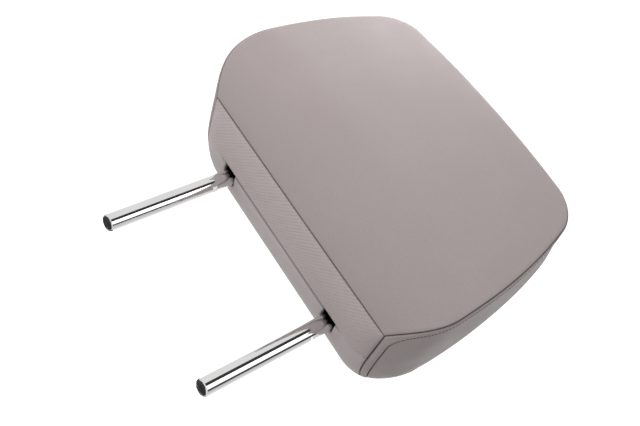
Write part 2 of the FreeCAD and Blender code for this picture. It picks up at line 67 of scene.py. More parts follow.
SLACK = 0.8 * MM                    # the sewn form is this much smaller, before it is puffed out
HALF_WIDTH = band_hi.x - SLACK
TOP_Z = band_hi.z - SLACK
FLOOR_Z = flap_lo.z
FRONT_Y = face_lo.y
FLAP_X = flap_hi.x                  # the flaps' side seams
HEM_Y = flap_hi.y                   # straight hem of the front flap
REAR_SEAM_Y = rear_lo.y
REAR_Y = rear_hi.y
POST_R = (post_hi.y - post_lo.y) / 2
POST_X = post_hi.x - POST_R

# ---------------------------------------------------------------- the soft form
# Section across the pad: a rounded outline, less full at the front seam than further back.
FACE_TOP_DROP = 13.5 * MM           # top of the face outline, below the top of the fullest section
FACE_CORNER = (51.5 * MM, 36 * MM, 34.5 * MM)   # upper corner at the face: centre in, down; radius
BODY_CORNER = (49.5 * MM, 44 * MM, 38 * MM)     # and where the section is fullest
FULL_BEHIND = 62 * MM               # it is fullest this far behind the front seam
LOWER_R = 43.5 * MM                 # lower corners of the face outline
LOBE_R = 38.5 * MM                  # lower corners this far behind the front seam
LOBE_BEHIND = 52 * MM
REAR_EXTRA = 13 * MM                # added to the lower corners' radius towards the rear,
REAR_FROM = 75 * MM                 # from this far behind the front seam,
REAR_OVER = 45 * MM                 # over this depth
SIDE_R = 420 * MM                   # the sides bulge a little
SIDE_TAPER = (-60 * MM, 6 * MM)     # depth where the sides start to draw in, and how far they do
FLOOR_TAPER = (-9 * MM, 13 * MM)    # the same for the underside
TOP_TAPER = (12 * MM, 22 * MM)      # and for the top

# Face: crowned across, rolled under at the bottom.
CROWN = 7.4 * MM                    # the face's sides fall back this far,
CORNER_EASE = 0.8                   # but less by this share at the lower corners,
EASE_BELOW = 40 * MM                # from this height down,
EASE_OVER = 35 * MM                 # over this height
TOP_FALL = 2.5 * MM                 # the top edge falls back too,
TOP_FALL_FROM = 110 * MM            # from this height up
ROLL_R = 60 * MM                    # the lower face rolls back with this radius,
ROLL_Z = 62 * MM                    # from this height down
FLAP_RISE = 20 * MM                 # the front flap levels out over this depth,
RISE_POWER = 1.6                    # quickly at first

# Rear panel: crowned, with a rounded edge. Its rim stands out half way up each side.
REAR_ROUND = 20 * MM                # width of the rounded edge
REAR_CROWN = 3 * MM
RIM_PROUD = 2.0 * MM                # the rim stands out from the side band,
RIM_START = 3 * MM                  # fully this far from the seam,
RIM_END = 24 * MM                   # and no more from here,
RIM_FADE = 16 * MM                  # after fading over this width
RIM_LOW = 44 * MM                   # between these heights,
RIM_HIGH = 165 * MM
RIM_LOW_FADE = 10 * MM              # fading over these,
RIM_HIGH_FADE = 60 * MM
RIM_X = 100 * MM                    # and this far from the middle
RIM_X_FADE = 20 * MM
REAR_DIP = 1.5 * MM                 # the side band is drawn in beside the rim,
REAR_DIP_WIDTH = 14 * MM            # over this width

# Hem: the front flap ends in a fold over the rear flap.
HEM_FOLD = 0.8 * MM                 # the fold stands out this far,
HEM_FOLD_WIDTH = 8 * MM             # over this width
HEM_ROLL = 2.0 * MM                 # its edge turns in this deep,
HEM_ROLL_WIDTH = 1.1 * MM           # over this width
HEM_TUCK = 1.3 * MM                 # the rear flap is drawn in under the fold,
HEM_TUCK_WIDTH = 11 * MM            # over this width,
HEM_SHADE = 4.2 * MM                # and has shadow painted on it this far in,
HEM_SHADE_FADE = 1.4 * MM
HEM_SHADE_LEVEL = 0.5               # by this much,
HEM_SHOWS = 94 * MM                 # out to this distance from the middle
HEM_SHOWS_FADE = 14 * MM
HEM_END = 12 * MM                   # fold and tuck fade over this width at the side seams
SLOT_R = POST_R + 0.8 * MM          # U-cuts in the rear flap, round the posts
SLOT_ROLL = 1.4 * MM                # their edge turns in this deep,
SLOT_ROLL_WIDTH = 1.6 * MM          # over this width

# Mesh and simulation.
SIM_CELLS = 32                      # cells across the flaps, and along each side of the round panels
SIM_ROWS = 14                       # cells from the front seam to the rear seam
REFINE = 3                          # the panels' cells are this many times finer,
FEWER = 8                           # less the ones that the rows at the seams replace
SAME_PLACE = 0.05 * MM              # points closer than this are welded
PUFF_CAP = 2.2 * MM                 # the most that the simulation may move a point
SIM_FRAMES = 20
FACE_CENTRE = 92 * MM               # the round panels' rings close in on these heights
REAR_CENTRE = 96 * MM

# Shells, seams and stitching. Rows are distances from an edge, in mm.
COVER_T = 3 * MM
SEAM_DEPTH = 1.8 * MM
INNER_DEPTH = COVER_T + SEAM_DEPTH * 0.5        # from the form to a panel's inner skin
SEAM_WIDTH = 3.6 * MM
SEAM_ROWS = [0.0, 0.25, 0.7, 1.3, 2.1, 3.2, 4.8]
SHADE_WIDTH = 0.8 * MM              # a seam's shadow is dark this far on each side,
BAND_SHADE = 1.15                   # but stronger and wider on the face along the side band
BAND_SHADE_WIDTH = 1.2 * MM
HEM_ROWS = [0.0, 0.15, 0.45, 0.9, 1.6, 3.0, 5.0]
FLAP_CELLS = 14                     # from the front flap's rows at the seam to its rows at the hem
TUCK_ROWS = [0.0, 0.3, 0.9, 1.8, 3.0, 4.2, 5.0, 5.8]
SLOT_ROWS = [0.35, 0.9, 1.7, 3.0, 5.0]
# Grid lines of the rear flap: between the posts (one half), over a U-cut, beside, before and behind it.
MIDDLE_LINES, ARC_LINES, SIDE_LINES, FRONT_LINES, REAR_LINES = 26, 17, 10, 7, 9
STITCH_IN = 6.6 * MM                # topstitch distance from the seam
STITCH_ROWS = [5.9, 6.3, 6.6, 6.9, 7.4, 8.6, 10.5]
STITCH_CORNER = 13 * MM             # radius of the stitch line round the lower front corners
STITCH_STOP = 3 * MM                # the line ends this far from the rear seam
STITCH_STEP = 0.25 * MM             # between the points of the line
STITCH_LONG = 1.4 * MM
STITCH_GAP = 1.1 * MM
THREAD_R = 0.48 * MM
THREAD_END = 0.12                   # a stitch's thickness at its ends, as a share, squared
THREAD_SIDES = 8
THREAD_RINGS = 7
THREAD_SUNK = 0.20 * MM             # a stitch's middle lies this deep in the cover,
THREAD_DIVE = 0.47 * MM             # and its ends this much deeper
GROOVE_DEPTH = 0.45 * MM            # the stitch line draws the cover in
GROOVE_WIDTH = 0.8 * MM
ALLOWANCE = 0.35 * MM               # the sewn-in allowance lifts the cover between seam and stitches,
ALLOWANCE_EDGE = 2 * MM             # with edges this soft
ALLOWANCE_SHIFT = 0.4


def ease(t):
    """Smooth step from 0 to 1."""
    t = np.clip(t, 0, 1)
    return t * t * (3 - 2 * t)


def quarter(t):
    """Quarter-ellipse: 0 with no slope at t = 0, 1 with a steep slope at t = 1."""
    t = np.clip(t, 0, 1)
    return 1 - np.sqrt(1 - t * t)


def taper(y, start_and_depth):
    """How far the form has drawn in at depth y."""
    start, depth = start_and_depth
    return depth * np.clip((y - start) / (REAR_Y - start), 0, 1) ** 2


def section(s, y, behind):
    """Point (x, z) of the pad's section at depth y.

    s runs from 0 at the right flap seam, over the top, to 1 at the left one. The outline is made of
    tangent arcs: lower corner, side, upper corner, top. behind is the distance to the front seam."""
    full = ease(behind / FULL_BEHIND)
    half = HALF_WIDTH - taper(y, SIDE_TAPER)
    floor = FLOOR_Z + taper(y, FLOOR_TAPER)
    top = TOP_Z - FACE_TOP_DROP * (1 - full) - taper(y, TOP_TAPER)
    corner_in, corner_down, corner_r = [a + (b - a) * full for a, b in zip(FACE_CORNER, BODY_CORNER)]
    low_r = lower_radius(behind)
    lx, lz = half - low_r, floor + low_r
    ux, uz = half - corner_in, top - corner_down
    top_r = (corner_r ** 2 - ux ** 2 - corner_down ** 2) / (2 * (corner_r - corner_down))
    tz = top - top_r
    gap = np.hypot(ux - lx, uz - lz)
    along = ((SIDE_R - low_r) ** 2 - (SIDE_R - corner_r) ** 2 + gap ** 2) / (2 * gap)
    across = np.sqrt((SIDE_R - low_r) ** 2 - along ** 2)
    dx, dz = (ux - lx) / gap, (uz - lz) / gap
    sx, sz = lx + dx * along - dz * across, lz + dz * along + dx * across
    a0 = -np.arccos(np.clip((FLAP_X - lx) / low_r, -1, 1))
    a1 = np.arctan2(lz - sz, lx - sx)
    a2 = np.arctan2(uz - sz, ux - sx)
    a3 = np.arctan2(uz - tz, ux)
    arcs = [
        (lx, lz, low_r, a0, a1),
        (sx, sz, SIDE_R, a1, a2),
        (ux, uz, corner_r, a2, a3),
        (0, tz, top_r, a3, math.pi / 2),
    ]
    left = 2 * np.minimum(s, 1 - s) * sum(r * (b - a) for _, _, r, a, b in arcs)
    x = z = 0
    for k, (cx, cz, r, a, b) in enumerate(arcs):
        span = r * (b - a)
        here = np.clip(left, 0, span)
        angle = a + here / r
        new_x, new_z = cx + r * np.cos(angle), cz + r * np.sin(angle)
        inside = (left >= 0) if k else np.ones_like(left, bool)
        x, z = np.where(inside, new_x, x), np.where(inside, new_z, z)
        left = left - span
    return np.where(s > 0.5, -x, x), z


def lower_radius(behind):
    """Radius of the lower corners, by the distance to the front seam."""
    rear = REAR_EXTRA * ease((behind - REAR_FROM) / REAR_OVER)
    return LOWER_R + (LOBE_R - LOWER_R) * ease(behind / LOBE_BEHIND) + rear


def crown_back(x, z):
    """How far the crown lets the face fall back, less at the lower corners."""
    kept = 1 - CORNER_EASE * ease((EASE_BELOW - z) / EASE_OVER)
    return CROWN * (x / HALF_WIDTH) ** 2 * kept


def face_y(x, z):
    """Depth of the face: crowned across, falling back at the top and rolling under at the bottom."""
    roll = ROLL_R - np.sqrt(ROLL_R ** 2 - np.clip(ROLL_Z - z, 0, ROLL_R) ** 2)
    fall = TOP_FALL * ease((z - TOP_FALL_FROM) / (TOP_Z - FACE_TOP_DROP - TOP_FALL_FROM))
    return FRONT_Y + roll + crown_back(x, z) + fall


def front_seam(s):
    """The seam between the face and the side band, in space."""
    x, z = section(s, FRONT_Y, 0 * s)
    return x, face_y(x, z), z


_, FLAP_SEAM_Y, CORNER_Z = [float(c[0]) for c in front_seam(np.zeros(1))]   # face, band and flap meet
SETTLE = 30                         # rounds until the seam's height no longer changes


def flap_seam_z(x):
    """Height of the straight seam between the face and the front flap."""
    z = np.full_like(x, CORNER_Z)
    for _ in range(SETTLE):
        roll = FLAP_SEAM_Y - FRONT_Y - crown_back(x, z)
        z = ROLL_Z - np.sqrt(ROLL_R ** 2 - (ROLL_R - roll) ** 2)
    return z


def side_band(s, v):
    """The side band, with v from 0 at the front seam to 1 at the rear seam; v = 0.5 meets the hem."""
    _, y0, _ = front_seam(s)
    middle = (HEM_Y - FLAP_SEAM_Y) / (REAR_SEAM_Y - FLAP_SEAM_Y)
    share = np.where(v < 0.5, 2 * v * middle, middle + (2 * v - 1) * (1 - middle))
    y = y0 + (REAR_SEAM_Y - y0) * share
    x, z = section(s, y, y - y0)
    return np.stack([x, y, z], -1)


def bottom_z(x, y):
    """Height of the underside: level in the middle, with the lower corners' rounding beside it."""
    low_r = lower_radius(y - FLAP_SEAM_Y)
    out = np.clip(np.abs(x) - (HALF_WIDTH - taper(y, SIDE_TAPER) - low_r), 0, low_r)
    return FLOOR_Z + taper(y, FLOOR_TAPER) + low_r - np.sqrt(low_r ** 2 - out ** 2)


def underside(x, y):
    """Both flaps: level, with a rise to the face at the front."""
    rise = flap_seam_z(x) - bottom_z(x, np.full_like(x, FLAP_SEAM_Y))
    fade = np.clip(1 - (y - FLAP_SEAM_Y) / FLAP_RISE, 0, 1) ** RISE_POWER
    return np.stack([x, y, bottom_z(x, y) + rise * fade], -1)


# ---------------------------------------------------------------- round panels: rings inside the seam
TINY = 1e-9


def climb(z):
    """Distance along the face's profile, as a height."""
    rolled = ROLL_Z - ROLL_R * np.arcsin(np.clip((ROLL_Z - z) / ROLL_R, 0, 1))
    return np.where(z < ROLL_Z, rolled, z)


def unclimb(c):
    """The height again, from the distance along the profile."""
    rolled = ROLL_Z - ROLL_R * np.sin(np.clip((ROLL_Z - c) / ROLL_R, 0, math.pi / 2))
    return np.where(c < ROLL_Z, rolled, c)


def face_edge(p):
    """Edge of the face, flattened: p runs 0 to 1 along the flap seam, then to 4 round the side band."""
    s = np.clip((p - 1) / 3, 0, 1)
    x, _, z = front_seam(s)
    flap_x = (2 * np.clip(p, 0, 1) - 1) * FLAP_X
    return np.where(p < 1, flap_x, x), climb(np.where(p < 1, flap_seam_z(flap_x), z))


def rear_edge(p):
    """Edge of the rear panel, flattened, with p as for the face."""
    s = np.clip((p - 1) / 3, 0, 1)
    around = side_band(s, np.ones_like(s))
    flap_x = (2 * np.clip(p, 0, 1) - 1) * FLAP_X
    z = bottom_z(flap_x, np.full_like(flap_x, REAR_SEAM_Y))
    return np.where(p < 1, flap_x, around[..., 0]), np.where(p < 1, z, around[..., 2])


def square_rings(cells):
    """Each point's ring in a square grid, 0 in the middle and 1 at the edge, and its place p on it."""
    a, b = np.meshgrid(np.linspace(-1, 1, cells + 1), np.linspace(-1, 1, cells + 1), indexing="ij")
    ring = np.maximum(np.abs(a), np.abs(b))
    safe = np.where(ring == 0, 1, ring)
    u, w = a / safe, b / safe
    sides = [w <= -1 + TINY, u >= 1 - TINY, w >= 1 - TINY]
    p = np.select(sides, [(u + 1) / 2, 1 + (w + 1) / 2, 2 + (1 - u) / 2], 3 + (1 - w) / 2)
    p = np.where((u <= -1 + TINY) & (w <= -1 + TINY) & (ring > 0), 0, p)
    return ring, np.where(ring == 0, 0.5, p)


def edge_height(edge, p, centre):
    """Distance from the panel's centre to the tangent of its edge at p."""
    step = 1e-3
    x0, z0 = edge(np.mod(p - step, 4))
    x1, z1 = edge(np.mod(p + step, 4))
    x, z = edge(p)
    tx, tz = x1 - x0, z1 - z0
    length = np.hypot(tx, tz)
    return np.abs(x * tz - (z - centre) * tx) / length


def round_panel(cells, edge, centre, rows):
    """Flattened points of a round panel, and each point's distance to the seam, ring and place.

    rows are the outermost rings' distances from the seam in mm, or None; the others are even."""
    ring, p = square_rings(cells)
    index = np.rint(ring * cells / 2).astype(int)
    x_edge, z_edge = edge(p)
    height = edge_height(edge, p, centre)
    count = cells // 2
    if rows:
        near = np.array(rows) * MM
        inner = 1 - near[-1] / height
        from_edge = count - index
        close = from_edge < len(rows)
        share = np.where(close, 1 - near[np.clip(from_edge, 0, len(rows) - 1)] / height,
                         inner * index / (count - len(rows) + 1))
    else:
        share = ring
    x = share * x_edge
    z = centre + share * (z_edge - centre)
    return x, z, (1 - share) * height, share, p


def face_points(cells, rows):
    """Points of the face, their distance to the seam, and their place round it."""
    x, c, distance, share, p = round_panel(cells, face_edge, FACE_CENTRE, rows)
    z = unclimb(c)
    y = face_y(x, z)
    flap_seam = (share > 1 - TINY) & (p < 1)
    y = np.where(flap_seam, FLAP_SEAM_Y, y)
    return np.stack([x, y, z], -1), distance, p


def rear_points(cells, rows):
    """Points of the rear panel, and their distance to the seam."""
    x, z, distance, share, _ = round_panel(cells, rear_edge, REAR_CENTRE, rows)
    round_edge = np.sqrt(1 - (1 - np.clip(distance / REAR_ROUND, 0, 1)) ** 2)
    y = REAR_SEAM_Y + (REAR_Y - REAR_SEAM_Y - REAR_CROWN) * round_edge + REAR_CROWN * (1 - share ** 2)
    return np.stack([x, y, z], -1), distance


# ---------------------------------------------------------------- cloth simulation of the whole cover
def grid_faces(shape, skip=None):
    """The four-sided faces of a grid of points; skip marks the cells to leave out."""
    rows, columns = shape
    faces = []
    for i in range(rows - 1):
        for j in range(columns - 1):
            if skip is None or not skip[i, j]:
                a = i * columns + j
                faces.append((a, a + 1, a + 1 + columns, a + columns))
    return faces


def sim_grids():
    """The five panels as grids whose edge points meet, so that they can be welded."""
    across = np.linspace(-FLAP_X, FLAP_X, SIM_CELLS + 1)
    around, back = np.linspace(0, 1, 3 * SIM_CELLS + 1), np.linspace(0, 1, SIM_ROWS + 1)
    grids = {
        "face": face_points(SIM_CELLS, None)[0],
        "side": side_band(*np.meshgrid(around, back, indexing="ij")),
        "rear": rear_points(SIM_CELLS, None)[0],
    }
    for name, y0, y1 in (("front_flap", FLAP_SEAM_Y, HEM_Y), ("rear_flap", HEM_Y, REAR_SEAM_Y)):
        x, y = np.meshgrid(across, np.linspace(y0, y1, SIM_ROWS // 2 + 1), indexing="ij")
        grids[name] = underside(x, y)
    return grids


def welded_cover(verts, faces):
    """One closed object from the panels, and the number in it of each point given."""
    mesh = bpy.data.meshes.new("cover_sim")
    mesh.from_pydata(verts, [], faces)
    cover = bpy.data.objects.new("cover_sim", mesh)
    bpy.context.scene.collection.objects.link(cover)
    cover.modifiers.new("Weld", "WELD").merge_threshold = SAME_PLACE
    dg = bpy.context.evaluated_depsgraph_get()
    welded = bpy.data.meshes.new_from_object(cover.evaluated_get(dg))
    cover.modifiers.clear()
    cover.data = welded
    tree = KDTree(len(welded.vertices))
    for vert in welded.vertices:
        tree.insert(vert.co, vert.index)
    tree.balance()
    face_outwards(welded)
    return cover, [tree.find(v)[1] for v in verts]


def add_cloth(cover):
    """Leather held at the seams, with pressure from inside and no gravity."""
    cloth = cover.modifiers.new("Cloth", "CLOTH")
    cloth.settings.quality = 5
    cloth.settings.mass = 0.3
    cloth.settings.tension_stiffness = 15
    cloth.settings.compression_stiffness = 15
    cloth.settings.shear_stiffness = 5
    cloth.settings.bending_stiffness = 0.5
    cloth.settings.use_pressure = True
    cloth.settings.uniform_pressure_force = 4
    cloth.settings.vertex_group_mass = "seams"
    cloth.settings.effector_weights.gravity = 0
    cloth.collision_settings.use_collision = False
    cloth.point_cache.frame_end = SIM_FRAMES


def simulate():
    """How far pressure moves each point of the closed cover, with every seam held, by panel."""
    grids = sim_grids()
    verts, faces, held, start = [], [], [], {}
    for name, g in grids.items():
        start[name] = len(verts)
        edge = np.ones(g.shape[:2], bool)
        edge[1:-1, 1:-1] = False
        verts += g.reshape(-1, 3).tolist()
        held += edge.reshape(-1).tolist()
        faces += [tuple(start[name] + i for i in f) for f in grid_faces(g.shape[:2])]
    cover, place = welded_cover(verts, faces)
    pins = sorted({place[i] for i, h in enumerate(held) if h})
    cover.vertex_groups.new(name="seams").add(pins, 1.0, "REPLACE")
    add_cloth(cover)
    before = np.array([v.co for v in cover.data.vertices], float)
    for number in range(1, SIM_FRAMES + 1):
        bpy.context.scene.frame_set(number)
    dg = bpy.context.evaluated_depsgraph_get()
    after = cover.evaluated_get(dg).to_mesh()
    move = np.array([v.co for v in after.vertices], float) - before
    bpy.data.objects.remove(cover)
    bpy.context.scene.frame_set(1)
    size = np.linalg.norm(move, axis=1, keepdims=True) + TINY
    print("cloth simulation moved points by up to", round(float(size.max()) / MM, 2), "mm")
    move *= PUFF_CAP * np.tanh(size / PUFF_CAP) / size
    moved = {}
    for name, g in grids.items():
        ids = place[start[name]:start[name] + g.shape[0] * g.shape[1]]
        moved[name] = move[ids].reshape(g.shape)
    return moved


def face_outwards(mesh):
    """Turns all faces of a closed mesh the same way, outwards."""
    shape = bmesh.new()
    shape.from_mesh(mesh)
    bmesh.ops.recalc_face_normals(shape, faces=shape.faces)
    shape.to_mesh(mesh)
    shape.free()


def resample(field, u, v):
    """Smooth (Catmull-Rom) value of a grid field at fractions u, v of its two directions."""
    def weights(t):
        return [-0.5 * t + t ** 2 - 0.5 * t ** 3, 1 - 2.5 * t ** 2 + 1.5 * t ** 3,
                0.5 * t + 2 * t ** 2 - 1.5 * t ** 3, -0.5 * t ** 2 + 0.5 * t ** 3]
    rows, columns = field.shape[0] - 1, field.shape[1] - 1
    u, v = np.clip(u, 0, 1) * rows, np.clip(v, 0, 1) * columns
    i, j = np.minimum(u.astype(int), rows - 1), np.minimum(v.astype(int), columns - 1)
    total = 0
    for a, wa in enumerate(weights(u - i)):
        for b, wb in enumerate(weights(v - j)):
            row, column = np.clip(i + a - 1, 0, rows), np.clip(j + b - 1, 0, columns)
            total = total + (wa * wb)[..., None] * field[row, column]
    return total


# ---------------------------------------------------------------- panels
CORE_LO = np.array([-96, -50, 45]) * MM     # a box in the pad's middle: inward is towards it
CORE_HI = np.array([96, 15, 155]) * MM


def inward(points):
    """Directions from points of the form to the box in the pad's middle."""
    d = np.clip(points, CORE_LO, CORE_HI) - points
    return d / np.linalg.norm(d, axis=-1, keepdims=True)


def seam_fall(distance):
    """1 at a seam, falling to 0 over the seam's width, steepest at the seam itself."""
    return 1 - np.sqrt(1 - (1 - np.clip(distance / SEAM_WIDTH, 0, 1)) ** 2)


def spread(length, start_rows, end_rows, middle):
    """Fractions along each of some lengths: rows in mm at each end, and middle more cells between."""
    start = np.array(start_rows)[:, None] * MM / length
    end = 1 - np.array(end_rows[::-1])[:, None] * MM / length
    steps = np.linspace(0, 1, middle + 1)[1:-1, None]
    return np.concatenate([start, start[-1:] + (end[:1] - start[-1:]) * steps, end])


def make_mesh(name, verts, faces, material):
    mesh = bpy.data.meshes.new(name)
    mesh.from_pydata(verts, [], faces)
    mesh.validate()
    obj = bpy.data.objects.new(name, mesh)
    bpy.context.scene.collection.objects.link(obj)
    mesh.materials.append(material)
    mesh.polygons.foreach_set("use_smooth", [True] * len(mesh.polygons))
    mesh.update()
    return obj


def shell(name, points, dip, seam, material, skip=None):
    """A closed panel: an outer skin, the form moved in by dip, and an inner skin, moved in evenly.

    seam says how much shade is painted on a point, for the material. The faces round the edge are
    shaded flat."""
    skin = grid_faces(points.shape[:2], skip)
    base = points.reshape(-1, 3)
    way = inward(base)
    used = sorted({i for f in skin for i in f})
    order = {old: new for new, old in enumerate(used)}
    outer = (base + way * dip.reshape(-1, 1))[used]
    inner = (base + way * INNER_DEPTH)[used]
    count = len(used)
    faces = [tuple(order[i] for i in f) for f in skin]
    edges = dict.fromkeys((a, b) for f in faces for a, b in zip(f, f[1:] + f[:1]))
    rim = [(b, a, a + count, b + count) for a, b in edges if (b, a) not in edges]
    back = [tuple(i + count for i in reversed(f)) for f in faces]
    verts = np.concatenate([outer, inner]).tolist()
    obj = make_mesh(name, verts, faces + back + rim, material)
    face_outwards(obj.data)
    # The seam attribute holds the shade painted beside the seams; the hidden inner skin is painted
    # fully dark.
    layer = obj.data.attributes.new("seam", "FLOAT", "POINT")
    painted_shade = np.concatenate([seam.reshape(-1)[used], np.ones(count)])
    layer.data.foreach_set("value", painted_shade.astype(np.float32))
    for poly in obj.data.polygons[len(faces):]:
        poly.use_smooth = poly.index < len(faces) + len(back)
    return obj


def seam_shade(distance):
    """How much shade is painted on the cover beside a seam."""
    return np.clip(1 - distance / SHADE_WIDTH, 0, 1)


def make_face(puff, material):
    cells = SIM_CELLS * REFINE
    points, distance, p = face_points(cells, SEAM_ROWS)
    a, b = ring_place(cells, distance, face_edge, FACE_CENTRE)
    points = points + resample(puff["face"], a, b)
    # Painted seam shade, stronger and wider on the face along the side band.
    band_shade = np.clip(BAND_SHADE - distance / BAND_SHADE_WIDTH, 0, 1)
    shade = np.where(p < 1, seam_shade(distance), band_shade)
    return shell("face_cover", points, SEAM_DEPTH * seam_fall(distance), shade, material)


def rim_share(points):
    """Where the rear panel's rim stands out: half way up each side."""
    x, z = np.abs(points[..., 0]), points[..., 2]
    heights = ease((z - RIM_LOW) / RIM_LOW_FADE) * ease((RIM_HIGH - z) / RIM_HIGH_FADE)
    return heights * ease((x - RIM_X) / RIM_X_FADE)


def make_rear(puff, material):
    cells = SIM_CELLS * REFINE
    points, distance = rear_points(cells, SEAM_ROWS)
    a, b = ring_place(cells, distance, rear_edge, REAR_CENTRE)
    points = points + resample(puff["rear"], a, b)
    width = ease(distance / RIM_START) * ease((RIM_END - distance) / RIM_FADE)
    proud = RIM_PROUD * width * rim_share(points)
    dip = SEAM_DEPTH * seam_fall(distance) - proud
    return shell("rear_cover", points, dip, seam_shade(distance), material)


def ring_place(cells, distance, edge, centre):
    """Where each point of a round panel falls in the simulated grid, as two fractions."""
    ring, p = square_rings(cells)
    share = 1 - distance / edge_height(edge, p, centre)
    a, b = np.meshgrid(np.linspace(-1, 1, cells + 1), np.linspace(-1, 1, cells + 1), indexing="ij")
    safe = np.where(ring == 0, 1, ring)
    return (a / safe * share + 1) / 2, (b / safe * share + 1) / 2


def column_length(s):
    """Length of the side band from the front seam to the rear seam."""
    _, y0, _ = front_seam(s)
    return REAR_SEAM_Y - y0


def band_length():
    """Length of the side band round the front seam."""
    x, y, z = front_seam(np.linspace(0, 1, 400))
    return float(np.sum(np.sqrt(np.diff(x) ** 2 + np.diff(y) ** 2 + np.diff(z) ** 2)))


def band_grid():
    """Places s, v of the side band's points, closer at seams and stitches, and the band's length."""
    total = band_length()
    ends = SEAM_ROWS + STITCH_ROWS
    s = spread(np.array([total]), ends, ends, 3 * SIM_CELLS * REFINE)[:, 0]
    v = spread(column_length(s), ends, SEAM_ROWS, SIM_ROWS * REFINE - FEWER)
    return np.broadcast_to(s[:, None], v.T.shape), v.T, total


def stitch_distance(along, behind):
    """Signed distance to the stitch line: a line parallel to the seams with rounded corners."""
    a, b = along - STITCH_IN, behind - STITCH_IN
    corner = np.hypot(np.clip(STITCH_CORNER - a, 0, None), np.clip(STITCH_CORNER - b, 0, None))
    rounded = (a < STITCH_CORNER) & (b < STITCH_CORNER)
    return np.where(rounded, STITCH_CORNER - corner, np.minimum(a, b))


def make_side(puff, material):
    s, v, total = band_grid()
    points = side_band(s, v) + resample(puff["side"], s, v)
    length = column_length(s)
    along = np.minimum(s, 1 - s) * total
    front, rear = v * length, (1 - v) * length
    distance = np.minimum(np.minimum(along, front), rear)
    line = stitch_distance(along, front)
    groove = GROOVE_DEPTH * np.exp(-(line / GROOVE_WIDTH) ** 2)
    allowance = ALLOWANCE * ease((line + STITCH_IN) / ALLOWANCE_EDGE)
    allowance = allowance * ease(-line / ALLOWANCE_EDGE + ALLOWANCE_SHIFT)
    beside_rim = REAR_DIP * ease(1 - rear / REAR_DIP_WIDTH) * rim_share(points)
    dip = SEAM_DEPTH * seam_fall(distance) + groove - allowance + beside_rim
    return shell("side_cover", points, dip, seam_shade(distance), material)


def make_front_flap(puff, material):
    depth = HEM_Y - FLAP_SEAM_Y
    across = spread(np.array([2 * FLAP_X]), SEAM_ROWS, SEAM_ROWS, SIM_CELLS * REFINE - FEWER)[:, 0]
    back = spread(np.array([depth]), SEAM_ROWS, HEM_ROWS, FLAP_CELLS)[:, 0]
    u, w = np.meshgrid(across, back, indexing="ij")
    points = underside((2 * u - 1) * FLAP_X, FLAP_SEAM_Y + w * depth)
    points = points + resample(puff["front_flap"], u, w)
    to_side = np.minimum(u, 1 - u) * 2 * FLAP_X
    to_seam = np.minimum(to_side, w * depth)
    to_hem = (1 - w) * depth
    fold = HEM_FOLD * ease(1 - to_hem / HEM_FOLD_WIDTH) * ease(to_side / HEM_END)
    turn = HEM_ROLL * quarter(1 - to_hem / HEM_ROLL_WIDTH)
    dip = np.maximum(SEAM_DEPTH * seam_fall(to_seam), turn) - fold
    return shell("front_flap_cover", points, dip, seam_shade(to_seam), material)


def slot_distance(x, y):
    """Distance outside the nearer U-cut: straight sides in front of the post, round behind it."""
    off = np.abs(np.abs(x) - POST_X)
    return np.where(y < 0, off, np.hypot(off, y)) - SLOT_R


def rear_flap_lines():
    """Where the rear flap's grid lines run, and how many of them are in front of the posts' axes.

    They are closer at the seams, the hem and the U-cuts, with a few even cells between."""
    near = np.array(SLOT_ROWS) * MM
    seam = np.array(SEAM_ROWS[::-1]) * MM
    inner, outer = POST_X - SLOT_R, POST_X + SLOT_R
    edge = FLAP_X - seam
    arc = POST_X - SLOT_R * np.cos(np.linspace(0, math.pi, ARC_LINES))
    middle = np.linspace(0, inner - near[-1], MIDDLE_LINES)
    beside = np.linspace(outer + near[-1], edge[0], SIDE_LINES)[1:-1]
    half = np.concatenate([middle, inner - near[-2::-1], arc, outer + near, beside, edge])
    hem = HEM_Y + np.array(TUCK_ROWS) * MM
    front = np.concatenate([hem, np.linspace(hem[-1], 0, FRONT_LINES)[1:]])
    behind = np.linspace(near[-1], REAR_SEAM_Y - seam[0], REAR_LINES)[1:-1]
    ys = np.concatenate([front, near, behind, REAR_SEAM_Y - seam])
    return np.concatenate([-half[:0:-1], half]), ys, len(front)


def make_rear_flap(puff, material):
    xs, ys, in_front = rear_flap_lines()
    x, y = np.meshgrid(xs, ys, indexing="ij")
    bulge = np.sqrt(np.clip(SLOT_R ** 2 - (np.abs(x) - POST_X) ** 2, 0, None))
    bend = bulge * (1 - np.clip(y / REAR_SEAM_Y, 0, 1))                 # round the ends of the U-cuts
    y = np.where(y >= 0, y + bend, y)
    u, w = (x / FLAP_X + 1) / 2, (y - HEM_Y) / (REAR_SEAM_Y - HEM_Y)
    points = underside(x, y) + resample(puff["rear_flap"], u, w)
    in_slot = np.abs(np.abs(xs[:-1] + xs[1:]) / 2 - POST_X) < SLOT_R
    skip = in_slot[:, None] & (np.arange(len(ys) - 1) < in_front - 1)[None, :]
    to_side = FLAP_X - np.abs(x)
    to_seam = np.minimum(to_side, REAR_SEAM_Y - y)
    to_hem = y - HEM_Y
    tuck = HEM_TUCK * ease(1 - to_hem / HEM_TUCK_WIDTH) * ease(to_side / HEM_END)
    turn = SLOT_ROLL * quarter(1 - np.clip(slot_distance(x, y), 0, None) / SLOT_ROLL_WIDTH)
    dip = np.maximum(np.maximum(SEAM_DEPTH * seam_fall(to_seam), turn), tuck)
    # Painted shadow on the rear flap under the hem's fold, out to HEM_SHOWS from the middle, with
    # painted seam shade.
    under = np.clip(1 - (to_hem - HEM_SHADE) / HEM_SHADE_FADE, 0, 1)
    under = under * ease((HEM_SHOWS - np.abs(x)) / HEM_SHOWS_FADE)
    shade = np.maximum(seam_shade(to_seam), HEM_SHADE_LEVEL * under)
    return shell("rear_flap_cover", points, dip, shade, material, skip)


